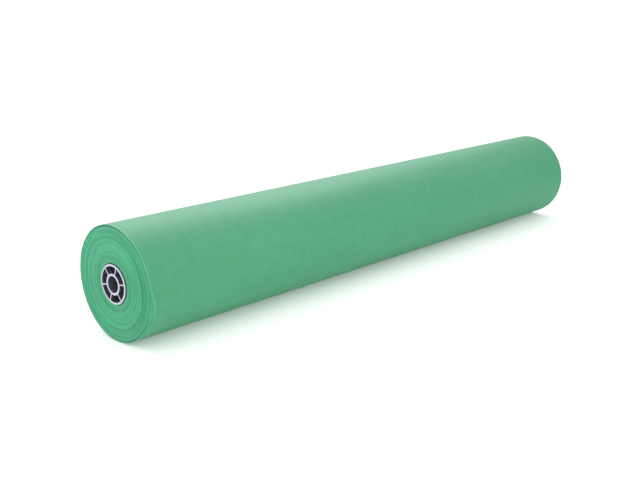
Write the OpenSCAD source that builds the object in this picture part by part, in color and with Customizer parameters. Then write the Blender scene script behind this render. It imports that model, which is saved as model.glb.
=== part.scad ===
// Wide roll of coloured backdrop paper.
// One long sheet is wound on a chipboard core, and a moulded plug with a
// spindle bore is pushed into each end of the core. The last part of the
// outermost turn is the leader, which lifts off the roll and lies flat.
// The roll's axis is X, its centre is the origin, +Y is its back and +Z is up.

/* [Roll] */
// Width of the paper sheet, which is the length of the roll
roll_length = 1524; // [600:1:2800]
// Outside diameter of the full roll
roll_diameter = 236; // [160:1:300]
// Depth of the slacker turns around the tightly wound ones
slack_depth = 4; // [2:0.5:12]
// Thickness of the sheet in the outermost turn
sheet_thickness = 0.3; // [0.2:0.05:0.5]

/* [Leader] */
// Angle around the roll that each strip covers
strip_angle = 20; // [15:1:22]
// Angle around the roll where the leader is joined to it, with 0 at the back and 90 at the top
leader_root = -85; // [-88:1:-60]
// Space between the leader and the turn below it
leader_clearance = 0.3; // [0.2:0.05:0.6]
// Width of the slit between two strips
strip_slit = 0.2; // [0.1:0.05:0.4]

/* [Core] */
// Bore of the chipboard core
core_bore = 76.2; // [76:0.1:77]
// Thickness of the core's wall
core_wall = 3.8; // [3:0.1:6]
// Width of the strip of tape that holds the start of the sheet
tape_width = 19; // [12:1:25]
// Thickness of the tape
tape_thickness = 0.3; // [0.2:0.05:0.4]

/* [Plugs] */
// Bore for the crossbar
spindle_bore = 34; // [26:0.5:36]
// Outside diameter of the hub around the bore
hub_diameter = 43; // [40:0.5:48]
// Outside diameter of the flange that stops the plug at the core's end
flange_diameter = 80.6; // [78.5:0.1:82]
// Thickness of the flange, all of it outside the core
flange_thickness = 2.5; // [1.5:0.1:5]
// Length of the sleeve inside the core
sleeve_length = 38; // [25:1:60]
// Thickness of the sleeve's wall between the grip ribs
sleeve_wall = 1.1; // [1:0.1:1.6]
// Number of spokes between the hub and the sleeve
spoke_count = 6; // [3:1:8]
// Thickness of a spoke
spoke_thickness = 2.4; // [1.5:0.1:5]
// Turn of the first spoke from the level
spoke_turn = -10; // [-30:1:30]
// Number of grip ribs around the sleeve
rib_count = 12; // [6:1:24]
// Width of a grip rib
rib_width = 2; // [1:0.1:4]
// Height of a grip rib above the sleeve
rib_height = 0.45; // [0.2:0.05:0.6]

/* [Hidden] */

// The leader bends in this many strips, each a node of its own
leader_strips = 6;

paper_green = [0.33, 0.63, 0.47];
board_brown = [0.63, 0.55, 0.45];
tape_cream = [0.86, 0.83, 0.72];
plug_grey = [0.16, 0.18, 0.21];

roll_radius = roll_diameter / 2;
core_radius = core_bore / 2 + core_wall;
pack_bore_radius = core_radius + tape_thickness;
pack_radius = roll_radius - slack_depth;
sheet_inner_radius = roll_radius - sheet_thickness;
slack_radius = sheet_inner_radius - leader_clearance;
slit_angle = strip_slit / roll_radius * 180 / PI;
leader_end = leader_root + leader_strips * strip_angle;

// The ribs run in the core with a twentieth of a millimetre to spare
plug_fit = 0.05;
sleeve_radius = core_bore / 2 - plug_fit - rib_height;
// Ribs and spokes sink this far into the wall that carries them
wall_bite = 0.4;
// Cutters reach this far past the faces that they cut
overcut = 1;
// Ribs and spokes stop short of the sleeve's inner end
rib_setback = 6;
spoke_setback = 3;
sleeve_chamfer = 0.5;
flange_edge = 0.6;

// Lays a shape that stands along Z out along the roll's axis: its X becomes
// the roll's Y and its Y becomes the roll's Z
module along_roll() {
    rotate([90, 0, 90]) children();
}

// A tube as long as the roll is wide
module roll_tube(outer, inner, length = roll_length) {
    along_roll() difference() {
        cylinder(r = outer, h = length, center = true, $fn = 180);
        cylinder(r = inner, h = length + 2 * overcut, center = true, $fn = 180);
    }
}

// A curved strip of the roll between two angles
module roll_strip(outer, inner, from, to, length = roll_length) {
    along_roll() rotate([0, 0, from])
        rotate_extrude(angle = to - from, $fn = 180)
            translate([inner, -length / 2]) square([outer - inner, length]);
}

module core_tube() {
    color(board_brown) roll_tube(core_radius, core_bore / 2);
}

// Double-sided tape between the core and the first turn, along the core's top
module start_tape() {
    half_angle = tape_width / core_radius * 90 / PI;
    color(tape_cream)
        roll_strip(pack_bore_radius, core_radius, 90 - half_angle, 90 + half_angle, roll_length - 20);
}

module paper_pack() {
    color(paper_green) roll_tube(pack_radius, pack_bore_radius);
}

module slack_wraps() {
    color(paper_green) roll_tube(slack_radius, pack_radius);
}

// The outermost turn, from under the leader's free edge round to its root
module outer_turn() {
    color(paper_green)
        roll_strip(
            roll_radius, sheet_inner_radius,
            leader_end + slit_angle / 2, leader_root + 360 - slit_angle / 2
        );
}

module leader_strip(index) {
    from = leader_root + (index - 1) * strip_angle;
    color(paper_green)
        roll_strip(
            roll_radius, sheet_inner_radius,
            from + slit_angle / 2, from + strip_angle - slit_angle / 2
        );
}

// One moulded plug, standing on its flange with its sleeve along +Z
module plug() {
    inner_radius = sleeve_radius - sleeve_wall;
    total_length = flange_thickness + sleeve_length;
    color(plug_grey) difference() {
        union() {
            // Flange and sleeve in one turned profile
            rotate_extrude($fn = 120) polygon([
                [inner_radius, 0],
                [flange_diameter / 2 - flange_edge, 0],
                [flange_diameter / 2, flange_edge],
                [flange_diameter / 2, flange_thickness],
                [sleeve_radius, flange_thickness],
                [sleeve_radius, total_length - sleeve_chamfer],
                [sleeve_radius - sleeve_chamfer, total_length],
                [inner_radius, total_length]
            ]);
            cylinder(d = hub_diameter, h = total_length, $fn = 96);
            for (turn = [0 : spoke_count - 1])
                rotate([0, 0, spoke_turn + turn * 360 / spoke_count])
                    translate([hub_diameter / 2 - wall_bite, -spoke_thickness / 2, 0])
                        cube([
                            inner_radius - hub_diameter / 2 + 2 * wall_bite,
                            spoke_thickness, total_length - spoke_setback
                        ]);
            for (turn = [0 : rib_count - 1])
                rotate([0, 0, (turn + 0.5) * 360 / rib_count])
                    translate([sleeve_radius - wall_bite, -rib_width / 2, flange_thickness / 2])
                        cube([
                            wall_bite + rib_height, rib_width,
                            total_length - rib_setback - flange_thickness / 2
                        ]);
        }
        translate([0, 0, -overcut])
            cylinder(d = spindle_bore, h = total_length + 2 * overcut, $fn = 96);
    }
}

module plug_left() {
    translate([-roll_length / 2 - flange_thickness, 0, 0]) along_roll() plug();
}

module plug_right() {
    mirror([1, 0, 0]) plug_left();
}

core_tube();
start_tape();
paper_pack();
slack_wraps();
outer_turn();
leader_strip(1);  // leader_1
leader_strip(2);  // leader_2
leader_strip(3);  // leader_3
leader_strip(4);  // leader_4
leader_strip(5);  // leader_5
leader_strip(6);  // leader_6
plug_left();
plug_right();
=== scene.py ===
import math
import random

import bpy
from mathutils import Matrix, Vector, noise


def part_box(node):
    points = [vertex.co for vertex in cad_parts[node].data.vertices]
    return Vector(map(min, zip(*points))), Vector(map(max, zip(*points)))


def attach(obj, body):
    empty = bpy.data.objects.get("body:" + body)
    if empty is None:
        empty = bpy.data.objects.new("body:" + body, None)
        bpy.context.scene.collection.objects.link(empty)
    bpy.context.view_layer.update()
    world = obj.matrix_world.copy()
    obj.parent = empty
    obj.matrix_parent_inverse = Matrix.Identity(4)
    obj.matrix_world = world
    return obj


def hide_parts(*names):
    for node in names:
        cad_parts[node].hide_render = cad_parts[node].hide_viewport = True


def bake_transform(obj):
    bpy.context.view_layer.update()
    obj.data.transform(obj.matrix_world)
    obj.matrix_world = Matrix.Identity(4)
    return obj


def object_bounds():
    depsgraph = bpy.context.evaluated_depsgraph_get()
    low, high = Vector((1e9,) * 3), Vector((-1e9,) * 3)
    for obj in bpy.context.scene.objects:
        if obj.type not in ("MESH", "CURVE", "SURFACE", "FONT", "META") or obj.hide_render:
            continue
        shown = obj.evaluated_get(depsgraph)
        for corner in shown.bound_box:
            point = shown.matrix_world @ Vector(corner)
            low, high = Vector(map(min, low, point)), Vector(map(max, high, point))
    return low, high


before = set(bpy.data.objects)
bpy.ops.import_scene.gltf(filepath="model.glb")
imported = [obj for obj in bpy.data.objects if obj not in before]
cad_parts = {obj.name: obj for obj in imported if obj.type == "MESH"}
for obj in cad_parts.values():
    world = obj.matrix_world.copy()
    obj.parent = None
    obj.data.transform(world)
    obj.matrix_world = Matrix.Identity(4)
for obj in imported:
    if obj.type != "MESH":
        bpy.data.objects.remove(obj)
cad_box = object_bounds()

# ---------------------------------------------------------------------------
# The studio: a white sweep under the roll in a graded white room, three strip
# boxes overhead that draw the sheen along its top, and two soft fills for the
# near end and the front.

roll_low, roll_high = cad_box

camera_place = (-1.695, -1.4254, 0.5413)
camera_heading = math.radians(46.72)
camera_tilt = math.radians(15.28)

camera_data = bpy.data.cameras.new("studio_camera")
camera_data.lens = 50.66
camera_data.sensor_width = 36
camera_data.clip_end = 60
camera = bpy.data.objects.new("studio_camera", camera_data)
bpy.context.scene.collection.objects.link(camera)
camera.location = camera_place
sight = Vector((
    math.sin(camera_heading) * math.cos(camera_tilt),
    math.cos(camera_heading) * math.cos(camera_tilt),
    -math.sin(camera_tilt),
))
camera.rotation_euler = sight.to_track_quat("-Z", "Y").to_euler()
bpy.context.scene.camera = camera
bpy.context.scene.view_settings.view_transform = "Standard"


def softbox(name, place, aim, width, depth, watts):
    """A rectangular area light at place, turned towards aim."""
    lamp = bpy.data.lights.new(name, "AREA")
    lamp.shape = "RECTANGLE"
    lamp.size = width
    lamp.size_y = depth
    lamp.energy = watts
    holder = bpy.data.objects.new(name, lamp)
    bpy.context.scene.collection.objects.link(holder)
    holder.location = place
    holder.rotation_euler = (Vector(aim) - Vector(place)).to_track_quat("-Z", "Y").to_euler()
    return holder


# The strips show only in the paper's sheen, each for another side of the roll
strip_aim = (-0.2, 0, 0)
strip_depth = 1.1
for name, place, width, watts in (
    ("sheen_back_right", (0.45, 0.95, 1.35), 2.2, 44),
    ("sheen_back_left", (-1.9, 0.95, 1.35), 1.6, 40),
    ("sheen_front", (0.9, -1.0, 1.35), 2.0, 6),
):
    sheen_strip = softbox(name, place, strip_aim, width, strip_depth, watts)
    sheen_strip.visible_diffuse = False
    sheen_strip.visible_camera = False
softbox("end_fill", place=(-3.2, -0.6, 0.9), aim=(-0.76, 0, 0), width=1.6, depth=1.6, watts=14)
softbox("front_fill", place=(-1.1, -2.4, 0.9), aim=(-0.4, -0.3, -0.1), width=2.4, depth=0.8, watts=12)


class Wire:
    """A shader socket that takes part in ordinary arithmetic: each operator adds a Math node."""

    def __init__(self, tree, socket):
        self.tree = tree
        self.socket = socket

    def __add__(self, other):
        return self.tree.math("ADD", self, other)

    def __sub__(self, other):
        return self.tree.math("SUBTRACT", self, other)

    def __rsub__(self, other):
        return self.tree.math("SUBTRACT", other, self)

    def __mul__(self, other):
        return self.tree.math("MULTIPLY", self, other)

    def __truediv__(self, other):
        return self.tree.math("DIVIDE", self, other)

    def __rtruediv__(self, other):
        return self.tree.math("DIVIDE", other, self)

    def __pow__(self, other):
        return self.tree.math("POWER", self, other)

    def __rpow__(self, other):
        return self.tree.math("POWER", other, self)

    def __gt__(self, other):
        return self.tree.math("GREATER_THAN", self, other)

    def __lt__(self, other):
        return self.tree.math("LESS_THAN", self, other)

    def __abs__(self):
        return self.tree.math("ABSOLUTE", self)

    __radd__ = __add__
    __rmul__ = __mul__


class Tree:
    """The node tree of a light or a material, under construction."""

    def __init__(self, node_tree):
        self.nodes = node_tree.nodes
        self.links = node_tree.links

    def add(self, kind, settings=None, sockets=None, output=0):
        """Adds a node, gives it its settings, feeds its sockets and returns one output as a Wire."""
        node = self.nodes.new(kind)
        for setting, value in (settings or {}).items():
            setattr(node, setting, value)
        for socket, value in (sockets or {}).items():
            self.feed(node.inputs[socket], value)
        return Wire(self, node.outputs[output])

    def feed(self, socket, value):
        """Links a wire to a socket, or gives the socket a plain value."""
        if isinstance(value, Wire):
            self.links.new(value.socket, socket)
        else:
            socket.default_value = value

    def math(self, operation, *values):
        """A Math node on wires and plain numbers."""
        return self.add("ShaderNodeMath", {"operation": operation}, dict(enumerate(values)))

    def split(self, vector):
        """The X, Y and Z of a vector, as three wires."""
        first = self.add("ShaderNodeSeparateXYZ", None, {"Vector": vector})
        return [Wire(self, part) for part in first.socket.node.outputs]

    def ramp(self, value, low, high, least=0, most=1):
        """Goes from least to most while value goes from low to high."""
        return self.add(
            "ShaderNodeMapRange", None,
            {"Value": value, "From Min": low, "From Max": high, "To Min": least, "To Max": most},
        )


# The room's light is stronger from the ceiling than from the walls, and the
# backdrop itself is plain white
horizon_light = 0.84
ceiling_light = 1.24
backdrop_white = 1.04

room = bpy.data.worlds.new("white_room")
room.use_nodes = True
room_tree = Tree(room.node_tree)
height = room_tree.split(room_tree.add("ShaderNodeTexCoord", output="Generated"))[2]
glow = room_tree.ramp(height, low=0, high=1, least=horizon_light, most=ceiling_light)
camera_ray = room_tree.add("ShaderNodeLightPath", output="Is Camera Ray")
strength = room_tree.add("ShaderNodeMix", None, {"Factor": camera_ray, "A": glow, "B": backdrop_white})
room_shader = room_tree.nodes["Background"]
room_tree.feed(room_shader.inputs["Color"], (1, 1, 1, 1))
room_tree.feed(room_shader.inputs["Strength"], strength)
bpy.context.scene.world = room

# Where a Mix node keeps its colours
mix_first = 6
mix_second = 7
mix_result = 2


class Finish(Tree):
    """A material under construction, with its Principled BSDF already in place."""

    def __init__(self, name, **constants):
        self.material = bpy.data.materials.new(name)
        self.material.use_nodes = True
        super().__init__(self.material.node_tree)
        self.set(**constants)

    def set(self, **sockets):
        """Links or sets sockets of the Principled BSDF."""
        shader = self.nodes["Principled BSDF"]
        for socket, value in sockets.items():
            self.feed(shader.inputs[socket.replace("_", " ")], value)

    def place(self):
        """Where a point is, in the roll's own frame."""
        return self.add("ShaderNodeTexCoord", output="Object")

    def stretch(self, vector, scale):
        """The same coordinates at another scale in each direction."""
        return self.add("ShaderNodeMapping", None, {"Vector": vector, "Scale": scale})

    def grain(self, vector, scale, detail=3.0, roughness=0.55):
        """Noise from 0 to 1 with about one bump to every 1 / scale metres."""
        return self.add(
            "ShaderNodeTexNoise", None,
            {"Vector": vector, "Scale": scale, "Detail": detail, "Roughness": roughness},
        )

    def mix(self, share, first, second):
        """A colour between first and second."""
        return self.add(
            "ShaderNodeMix", {"data_type": "RGBA"},
            {"Factor": share, mix_first: first, mix_second: second}, output=mix_result,
        )

    def bump(self, height, depth, strength=1.0):
        """Normals for a relief that is depth metres high where height is 1."""
        return self.add("ShaderNodeBump", None, {"Height": height, "Distance": depth, "Strength": strength})


# The sweep lies just under the roll and runs out past every view
sweep_size = 400
sweep_gap = 0.0004
bpy.ops.object.select_all(action="DESELECT")
bpy.ops.mesh.primitive_plane_add(size=sweep_size, location=(0, 0, roll_low.z - sweep_gap))
sweep = bpy.context.object
sweep.name = "studio_sweep"
sweep_finish = Finish(
    "white_sweep", Base_Color=(0.97, 0.97, 0.97, 1), Roughness=0.7,
    Emission_Color=(1, 1, 1, 1), Emission_Strength=0.17,
)
sweep.data.materials.append(sweep_finish.material)

# ---------------------------------------------------------------------------
# The wound paper: the tight turns, a solid block of one long sheet. Each turn
# was slit with its neighbours, so the ends are flat, but the turns have crept
# in groups while the roll was wound and handled, which leaves fine rings.

bore_clearance = 0.0003
pack_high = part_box("paper_pack")[1]
pack_radius = pack_high.z
pack_half = pack_high.x
pack_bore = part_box("core_tube")[1].z + bore_clearance
turned_steps = 180
merge_distance = 1e-6

# The groups of turns: their widths against one another, their creep along the
# roll, the few that have sunk into grooves, and the slow waves across them all
ring_count = 84
ring_narrowest = 0.5
ring_widest = 1.5
ring_bevel = 0.00006
ring_creep = 0.00022
groove_share = 0.14
groove_depth = 0.0007
groove_least = 0.5
fine_wave = 0.00015
fine_wave_radius = 0.0021
broad_wave = 0.00018
broad_wave_radius = 0.0043


def turned(name, profile):
    """A closed turned piece: one vertex is extruded round the profile of (x, radius) and spun about X."""
    bpy.ops.object.select_all(action="DESELECT")
    bpy.ops.mesh.primitive_plane_add(size=0.001, location=(0, 0, 0))
    piece = bpy.context.object
    piece.name = name
    piece.data.name = name
    bpy.ops.object.mode_set(mode="EDIT")
    bpy.ops.mesh.select_all(action="SELECT")
    bpy.ops.mesh.merge(type="CENTER")
    x, radius = profile[0]
    bpy.ops.transform.translate(value=(x, 0, radius))
    for next_x, next_radius in [*profile[1:], profile[0]]:
        bpy.ops.mesh.extrude_region_move(
            TRANSFORM_OT_translate={"value": (next_x - x, 0, next_radius - radius)}
        )
        x = next_x
        radius = next_radius
    bpy.ops.mesh.select_all(action="SELECT")
    bpy.ops.mesh.remove_doubles(threshold=merge_distance)
    bpy.ops.mesh.spin(steps=turned_steps, angle=2 * math.pi, center=(0, 0, 0), axis=(1, 0, 0))
    bpy.ops.mesh.select_all(action="SELECT")
    bpy.ops.mesh.remove_doubles(threshold=merge_distance)
    bpy.ops.mesh.normals_make_consistent(inside=False)
    bpy.ops.object.mode_set(mode="OBJECT")
    return piece


def end_rings(seed):
    """(radius, creep) pairs of one wound end, from the bore out: each group of turns is a flat land."""
    draw = random.Random(seed)
    widths = [draw.uniform(ring_narrowest, ring_widest) for _ in range(ring_count)]
    scale = (pack_radius - pack_bore) / sum(widths)
    radius = pack_bore
    rings = []
    for width in widths:
        creep = draw.uniform(-ring_creep, ring_creep)
        if draw.random() < groove_share:
            creep -= groove_depth * draw.uniform(groove_least, 1)
        wave = (
            fine_wave * math.sin(radius / fine_wave_radius + seed)
            + broad_wave * math.sin(radius / broad_wave_radius)
        )
        rings.append((radius + ring_bevel, creep + wave))
        radius += width * scale
        rings.append((radius - ring_bevel, creep + wave))
    return rings


near_rings = [(-pack_half - creep, radius) for radius, creep in end_rings(5)]
far_rings = [(pack_half + creep, radius) for radius, creep in end_rings(11)]
wound_paper = turned("wound_paper", near_rings + far_rings[::-1])

# The rings aren't true circles: they waver by a few tenths of a millimetre,
# and their steps are deeper low at the front, where the turns are slack
true_at_bore = 0.002
true_at_rim = 0.001
waver_depth = 0.0009
waver_round = 14
waver_along = 3
slackest_angle = math.radians(195)
slack_deepening = 1.6
for vertex in wound_paper.data.vertices:
    x, y, z = vertex.co
    radius = math.hypot(y, z)
    if pack_bore + true_at_bore < radius < pack_radius - true_at_rim:
        angle = math.atan2(z, y)
        outward = (radius - pack_bore) / (pack_radius - pack_bore)
        waver = noise.noise(Vector((y * waver_round, z * waver_round, x * waver_along)))
        wavy_radius = radius + waver * waver_depth * outward
        vertex.co.y = wavy_radius * math.cos(angle)
        vertex.co.z = wavy_radius * math.sin(angle)
        slack = max(0, math.cos(angle - slackest_angle)) ** 2 * outward
        step = abs(x) - pack_half
        vertex.co.x = math.copysign(pack_half + step * (1 + slack_deepening * slack), x)

edge_green = (0.054, 0.375, 0.195, 1)
edge_dark = (0.034, 0.265, 0.130, 1)
edge_pale = (0.160, 0.520, 0.350, 1)
turn_smear = 0.045


def in_turns(finish, across, upward, smear):
    """Coordinates for a pattern of rings: to scale from ring to ring, and drawn out round them."""
    radius = (across * across + upward * upward) ** 0.5
    return finish.add("ShaderNodeCombineXYZ", None, {"X": radius, "Y": across * smear, "Z": upward * smear})


wound_finish = Finish("wound_paper_ends", Roughness=0.78, Specular_IOR_Level=0.3, Sheen_Weight=0.12)
place = wound_finish.place()
across, upward = wound_finish.split(place)[1:]
turn_place = in_turns(wound_finish, across, upward, turn_smear)
broad = wound_finish.grain(turn_place, scale=170, detail=2)
fine = wound_finish.grain(turn_place, scale=900, detail=3, roughness=0.7)
hair = wound_finish.grain(turn_place, scale=3600, detail=2, roughness=0.7)
patches = wound_finish.grain(place, scale=22, detail=3)
tone = broad * 0.55 + fine * 0.3 + patches * 0.3 - 0.08
ringed = wound_finish.mix(wound_finish.ramp(tone, low=0.32, high=0.72), edge_dark, edge_green)
glints = wound_finish.ramp(hair * fine, low=0.3, high=0.5, least=0, most=0.45)
wound_finish.set(
    Base_Color=wound_finish.mix(glints, ringed, edge_pale),
    Normal=wound_finish.bump(fine * 0.6 + hair * 0.4, depth=0.0006, strength=0.6),
)
wound_paper.data.materials.append(wound_finish.material)
bpy.ops.object.select_all(action="DESELECT")
wound_paper.select_set(True)
bpy.context.view_layer.objects.active = wound_paper
bpy.ops.object.shade_smooth_by_angle(angle=math.radians(25))
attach(wound_paper, "roll")
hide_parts("paper_pack")

# ---------------------------------------------------------------------------
# The core: a spiral-wound chipboard tube that the paper is wound on. Its plies
# run round it in a steep helix, butted edge to edge.

# One lap of the helix takes core_pitch of length; turns_ahead keeps its count
# of laps above nought from end to end
core_pitch = 0.155
core_seam_width = 0.015
core_seam_depth = 0.8
core_smear = 0.1
turns_ahead = 20
# The board is coloured darker than plain chipboard: partly its own grey, partly painted shade for the core's
# end in the shadow of the plug flanges
board_tan = (0.092, 0.080, 0.066, 1)
board_grey = (0.046, 0.042, 0.038, 1)
board_seam = (0.016, 0.014, 0.012, 1)

core_finish = Finish("spiral_board", Roughness=0.85, Specular_IOR_Level=0.25)
place = core_finish.place()
along, across, upward = core_finish.split(place)
turn = core_finish.math("ARCTAN2", upward, across) / (2 * math.pi)
lap = core_finish.math("FRACT", turn + along / core_pitch + turns_ahead)
seam = (lap > 1 - core_seam_width) * core_seam_depth
plies = core_finish.grain(in_turns(core_finish, across, upward, core_smear), scale=2600, detail=2)
fluff = core_finish.grain(place, scale=420, detail=4)
board = core_finish.mix(fluff * 0.6 + plies * 0.5, board_grey, board_tan)
core_finish.set(
    Base_Color=core_finish.mix(seam, board, board_seam),
    Normal=core_finish.bump(fluff * 0.5 + plies * 0.5 - seam, depth=0.0005, strength=0.6),
)


def repaint(node, finish):
    """Gives a node of the frame its real finish."""
    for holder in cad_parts[node].material_slots:
        holder.material = finish.material


repaint("core_tube", core_finish)

# ---------------------------------------------------------------------------
# The start tape: a strip of creped paper tape that holds the first turn to the
# core. It is stuck on by hand and lies under the wound paper.

tape_pale = (0.66, 0.50, 0.27, 1)
tape_brown = (0.50, 0.36, 0.17, 1)

tape_finish = Finish("paper_tape", Roughness=0.5, Specular_IOR_Level=0.45)
crepe = tape_finish.grain(tape_finish.stretch(tape_finish.place(), (1, 0.2, 0.2)), scale=1400, detail=2)
tape_finish.set(
    Base_Color=tape_finish.mix(crepe, tape_brown, tape_pale),
    Normal=tape_finish.bump(crepe, depth=0.0002, strength=0.5),
)
repaint("start_tape", tape_finish)

# ---------------------------------------------------------------------------
# The slack turns: the last turns before the outermost one. Handling has let
# them go, so they stand a little apart, and at the near end they belly out
# low on the front. Each turn is the same paper, seen here on its cut edge.

sheet_radius = roll_high.z
turn_from = math.radians(35)

# Each turn is a thin shell with rows of points at the stations, measured from
# the near end, which are close together where the belly is
slack_count = 13
slack_wall = 0.00021
slack_first = pack_radius + 0.0001
slack_last = sheet_radius - 0.0005
slack_stations = (0.012, 0.03, 0.055, 0.085, 0.125, 0.18, 0.3)
slack_creep = 0.0005
slack_waver = 0.00008
slack_waver_shift = 2.4
end_waver = 0.0004
end_waver_reach = 0.005
end_waver_round = 11
end_waver_shift = 3.7

# The belly rises from its start to its peak, stays full down to the crease and
# falls back to the roll, steeply in its toe
belly_depth = 0.0122
belly_reach = 0.085
belly_starts = math.radians(170)
belly_peaks = math.radians(186)
belly_creases = math.radians(199)
belly_ends = math.radians(225)
belly_slope = 0.8
belly_toe = 0.2
belly_fade = 1.4
belly_innermost = 0.03
belly_spread = 0.88
belly_wall = 0.85


def belly(x, angle):
    """How far the outermost turn stands off at a place: full at the near end, gone a hand's width along."""
    angle = angle % (2 * math.pi)
    if not belly_starts < angle < belly_ends:
        return 0.0
    if angle < belly_peaks:
        share = (angle - belly_starts) / (belly_peaks - belly_starts)
        share = share * share * (3 - 2 * share)
    elif angle < belly_creases:
        share = 1.0
    else:
        share = (belly_ends - angle) / (belly_ends - belly_creases)
        share = share ** belly_slope * (1 if share > belly_toe else (share / belly_toe) ** 0.5)
    along = max(0, (x + pack_half) / belly_reach)
    return belly_depth * share * math.exp(-along ** belly_fade)


cut_edge = Finish("cut_edge", Roughness=0.8, Specular_IOR_Level=0.3)
cut_grain = cut_edge.grain(cut_edge.place(), scale=700)
cut_edge.set(Base_Color=cut_edge.mix(cut_grain, edge_green, edge_pale))

# The sheet's face is clouded and fibrous, faintly streaked round the roll, and
# paler in a narrow band along both cut ends and the free edge
paper_green = (0.035, 0.248, 0.114, 1)
paper_pale = (0.064, 0.307, 0.160, 1)
free_edge = sheet_radius * turn_from
past_edge = 0.00002
# Where the paler bands along the cut ends and the free edge begin and reach full strength
end_band_starts = pack_half - 0.0026
end_band_full = pack_half - 0.0006
free_band_starts = free_edge - 0.0022
free_band_full = free_edge - 0.0005
band_strength = 0.7

paper = Finish("backdrop_paper_side", Specular_IOR_Level=0.42)
lay = paper.add("ShaderNodeUVMap", {"uv_map": "UVMap"})
cloud = paper.grain(paper.stretch(lay, (0.5, 1.6, 1)), scale=7, detail=3)
streak = paper.grain(paper.stretch(lay, (1, 0.16, 1)), scale=60, detail=3)
blotch = paper.grain(lay, scale=48, detail=4, roughness=0.62)
fibre = paper.grain(paper.stretch(lay, (1, 0.45, 1)), scale=1300, detail=3, roughness=0.7)
tone = cloud * 0.3 + streak * 0.12 + blotch * 0.28 + fibre * 0.3
shade = paper.ramp(tone, low=0.35, high=0.65)
along, around = paper.split(lay)[:2]
end_band = paper.ramp(abs(along), low=end_band_starts, high=end_band_full)
free_band = paper.ramp(around, low=free_band_starts, high=free_band_full) * (around < free_edge + past_edge)
pale_bands = (end_band * band_strength + free_band * band_strength) * (0.45 + 0.6 * blotch)
paper.set(
    Base_Color=paper.mix(pale_bands, paper.mix(shade, paper_green, paper_pale), edge_pale),
    Roughness=0.50 + fibre * 0.16 + blotch * 0.08,
    Normal=paper.bump(fibre * 0.35 + blotch * 0.4 + streak * 0.5, depth=0.0006, strength=0.35),
)


def chart_round(piece):
    """Lays the turns' sides out flat, along the roll and round it, two turns on from the free edge.

    The sides take the piece's second material and the cut ends its first.
    """
    chart = piece.data.uv_layers["UVMap"].data
    for face in piece.data.polygons:
        x, y, z = face.center
        middle = math.atan2(z, y)
        radius = math.hypot(y, z)
        for corner in face.loop_indices:
            x, y, z = piece.data.vertices[piece.data.loops[corner].vertex_index].co
            turn = (math.atan2(z, y) - middle + math.pi) % (2 * math.pi) - math.pi
            chart[corner].uv = (x, (middle + turn + 4 * math.pi) * radius)
        face.material_index = 1 if abs(face.normal.x) < 0.5 else 0


draw = random.Random(29)
slack_turns = []
for number in range(slack_count):
    share = number / (slack_count - 1)
    inner = slack_first + share * (slack_last - slack_wall - slack_first)
    near_x = -pack_half + draw.uniform(-slack_creep, slack_creep)
    far_x = pack_half + draw.uniform(-slack_creep, slack_creep)
    stations = [near_x] + [-pack_half + step for step in slack_stations] + [far_x]
    profile = [(x, inner + slack_wall) for x in stations] + [(x, inner) for x in stations[::-1]]
    slack_turn = turned(f"slack_turn_{number + 1}", profile)
    for vertex in slack_turn.data.vertices:
        x, y, z = vertex.co
        angle = math.atan2(z, y)
        outside = math.hypot(y, z) > inner + slack_wall / 2
        rank = number + belly_wall * outside
        lift = belly(x, angle) * (belly_innermost + belly_spread * rank / slack_count)
        lift += slack_waver * math.sin(2 * angle + number * slack_waver_shift)
        vertex.co.y += lift * math.cos(angle)
        vertex.co.z += lift * math.sin(angle)
        if abs(x) > pack_half - end_waver_reach:
            seat = Vector((y * end_waver_round, z * end_waver_round, number * end_waver_shift))
            vertex.co.x += end_waver * noise.noise(seat)
    slack_turn.data.materials.append(wound_finish.material)
    slack_turns.append(slack_turn)
bpy.ops.object.select_all(action="DESELECT")
for slack_turn in slack_turns:
    slack_turn.select_set(True)
bpy.context.view_layer.objects.active = slack_turns[0]
bpy.ops.object.join()
slack_paper = bpy.context.object
slack_paper.name = "slack_turns"
slack_paper.data.name = "slack_turns"
slack_paper.data.materials.append(paper.material)
chart_round(slack_paper)
bpy.ops.object.shade_smooth_by_angle(angle=math.radians(30))
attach(slack_paper, "roll")
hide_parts("slack_wraps")

# ---------------------------------------------------------------------------
# The outermost turn: heavy dyed paper, matte with a soft sheen, cut clean at
# both ends. It lies on the slack turns and keeps the shallow ripples of a roll
# that has been carried.

sheet_wall = 0.0003
sheet_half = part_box("outer_turn")[1].x
sheet_columns = 132
column_crowding = 1.35
row_angle = math.radians(1.25)
least_rows = 6

strip_root = math.radians(-85)
strip_angle = math.radians(20)
leader_foot = strip_root - math.radians(18)
turn_to = leader_foot + 2 * math.pi

# The sheet's small departures from a true cylinder: ripples, the lift along the
# leader's free edge, and the wander of both cut ends
ripple_sink = 0.00010
ripple_depth = 0.00009
ripple_along = 9
ripple_round = 1.6
curl_angle = math.radians(7)
curl_along = 7
curl_mean = 0.7
curl_swing = 0.5
edge_curl = 0.0009
edge_sink = 0.00014
cut_reach = 0.002
cut_inset = 0.0001
cut_wander = 0.0005
cut_round = 3


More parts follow.
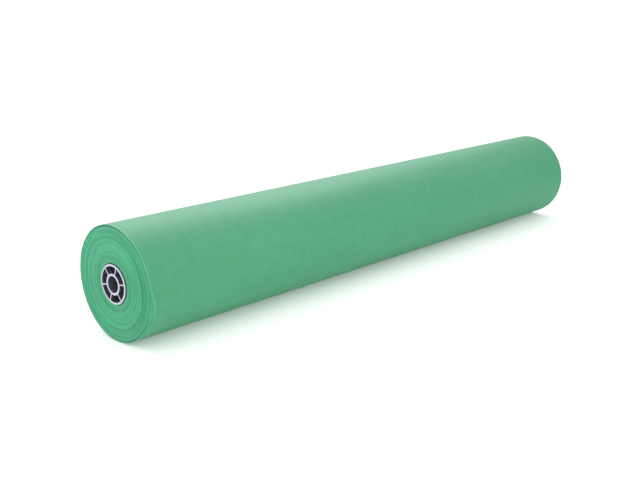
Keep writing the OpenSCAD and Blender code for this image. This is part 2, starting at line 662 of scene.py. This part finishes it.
def rolled_sheet(name, first_angle, last_angle):
    """A length of the outer turn from one angle to another, lying on the roll."""
    rows = max(least_rows, round((last_angle - first_angle) / row_angle))
    bpy.ops.object.select_all(action="DESELECT")
    bpy.ops.mesh.primitive_grid_add(x_subdivisions=sheet_columns, y_subdivisions=rows, size=1, calc_uvs=True)
    piece = bpy.context.object
    piece.name = name
    piece.data.name = name
    flat_places = []
    for vertex in piece.data.vertices:
        # The grid is a unit square about the origin
        share_x = vertex.co.x + 0.5
        share_y = vertex.co.y + 0.5
        x = -sheet_half + 2 * sheet_half * share_x ** column_crowding
        angle = first_angle + (last_angle - first_angle) * share_y
        flat_places.append((x, angle * sheet_radius))
        across = math.cos(angle)
        upward = math.sin(angle)
        ripple = noise.noise(Vector((x * ripple_along, across * ripple_round, upward * ripple_round)))
        reach = sheet_radius - (ripple_sink + ripple_depth * ripple) + belly(x, angle)
        to_edge = abs(angle - turn_from) / curl_angle
        if to_edge < 1:
            curl = (1 - to_edge) ** 2
            wave = curl_mean + curl_swing * noise.noise(Vector((x * curl_along, 3, 1)))
            reach += curl * wave * edge_curl if angle <= turn_from else -curl * edge_sink
        wander = cut_wander * noise.noise(Vector((across * cut_round, upward * cut_round, 5)))
        if x + sheet_half < cut_reach:
            x += cut_inset + wander
        if sheet_half - x < cut_reach:
            x -= cut_inset + wander
        vertex.co = (x, reach * across, reach * upward)
    chart = piece.data.uv_layers["UVMap"].data
    for loop in piece.data.loops:
        chart[loop.index].uv = flat_places[loop.vertex_index]
    piece.data.materials.append(paper.material)
    piece.data.materials.append(cut_edge.material)
    piece.data.flip_normals()
    thicken = piece.modifiers.new("wall", "SOLIDIFY")
    thicken.thickness = sheet_wall
    thicken.offset = -1
    thicken.material_offset_rim = 1
    bpy.ops.object.modifier_apply(modifier=thicken.name)
    bpy.ops.object.shade_smooth_by_angle(angle=math.radians(40))
    (last_angle - first_angle) * sheet_radius
    return piece


outer_sheet = rolled_sheet("outer_turn_sheet", turn_from, turn_to)
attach(outer_sheet, "roll")
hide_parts("outer_turn")

# ---------------------------------------------------------------------------
# The leader: the last third of the outermost turn, whose free edge lies high on
# the back with nothing to hold it. It is built in six parts lying on the roll,
# split halfway along each line of the roll.

strip_count = 6


strip_middles = [strip_root + strip_angle * (number + 0.5) for number in range(strip_count)]
leader_ends = [leader_foot, *strip_middles[:-1], turn_from]
for number in range(1, strip_count + 1):
    leader = rolled_sheet(f"leader_sheet_{number}", leader_ends[number - 1], leader_ends[number])
    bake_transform(leader)
    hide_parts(f"leader_{number}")

# ---------------------------------------------------------------------------
# The end plugs: moulded plastic, pushed into the core. The open wheel has a
# rim, six spokes and a hub for the crossbar. The plastic is dark; its front
# lands carry a painted highlight, pale where they catch the light.

plug_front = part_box("plug_right")[1].x
land_depth = 0.0009
land_facing = 0.6
plastic_dark = (0.022, 0.026, 0.040, 1)
plastic_scuffed = (0.105, 0.102, 0.140, 1)
# The colours of the painted highlight on the front lands
highlight_bright = (0.52, 0.55, 0.63, 1)
highlight_dim = (0.42, 0.45, 0.52, 1)

plug_finish = Finish("plug_plastic", Specular_IOR_Level=0.5)
place = plug_finish.place()
along = plug_finish.split(place)[0]
facing = plug_finish.split(plug_finish.add("ShaderNodeNewGeometry", output="True Normal"))[0]
# Painted highlight: pale on the front faces of the lands, the faces that look along the roll
land = (abs(along) > plug_front - land_depth) * (abs(facing) > land_facing)
scuffs = plug_finish.grain(place, scale=340, detail=4, roughness=0.65)
pits = plug_finish.grain(place, scale=1900, detail=2)
dark = plug_finish.mix(scuffs, plastic_dark, plastic_scuffed)
painted_highlight = plug_finish.mix(scuffs, highlight_dim, highlight_bright)
plug_finish.set(
    Base_Color=plug_finish.mix(land, dark, painted_highlight),
    Roughness=0.36 + scuffs * 0.25,
    Normal=plug_finish.bump(scuffs * 0.6 + pits * 0.4, depth=0.0002, strength=0.5),
)
repaint("plug_left", plug_finish)
repaint("plug_right", plug_finish)
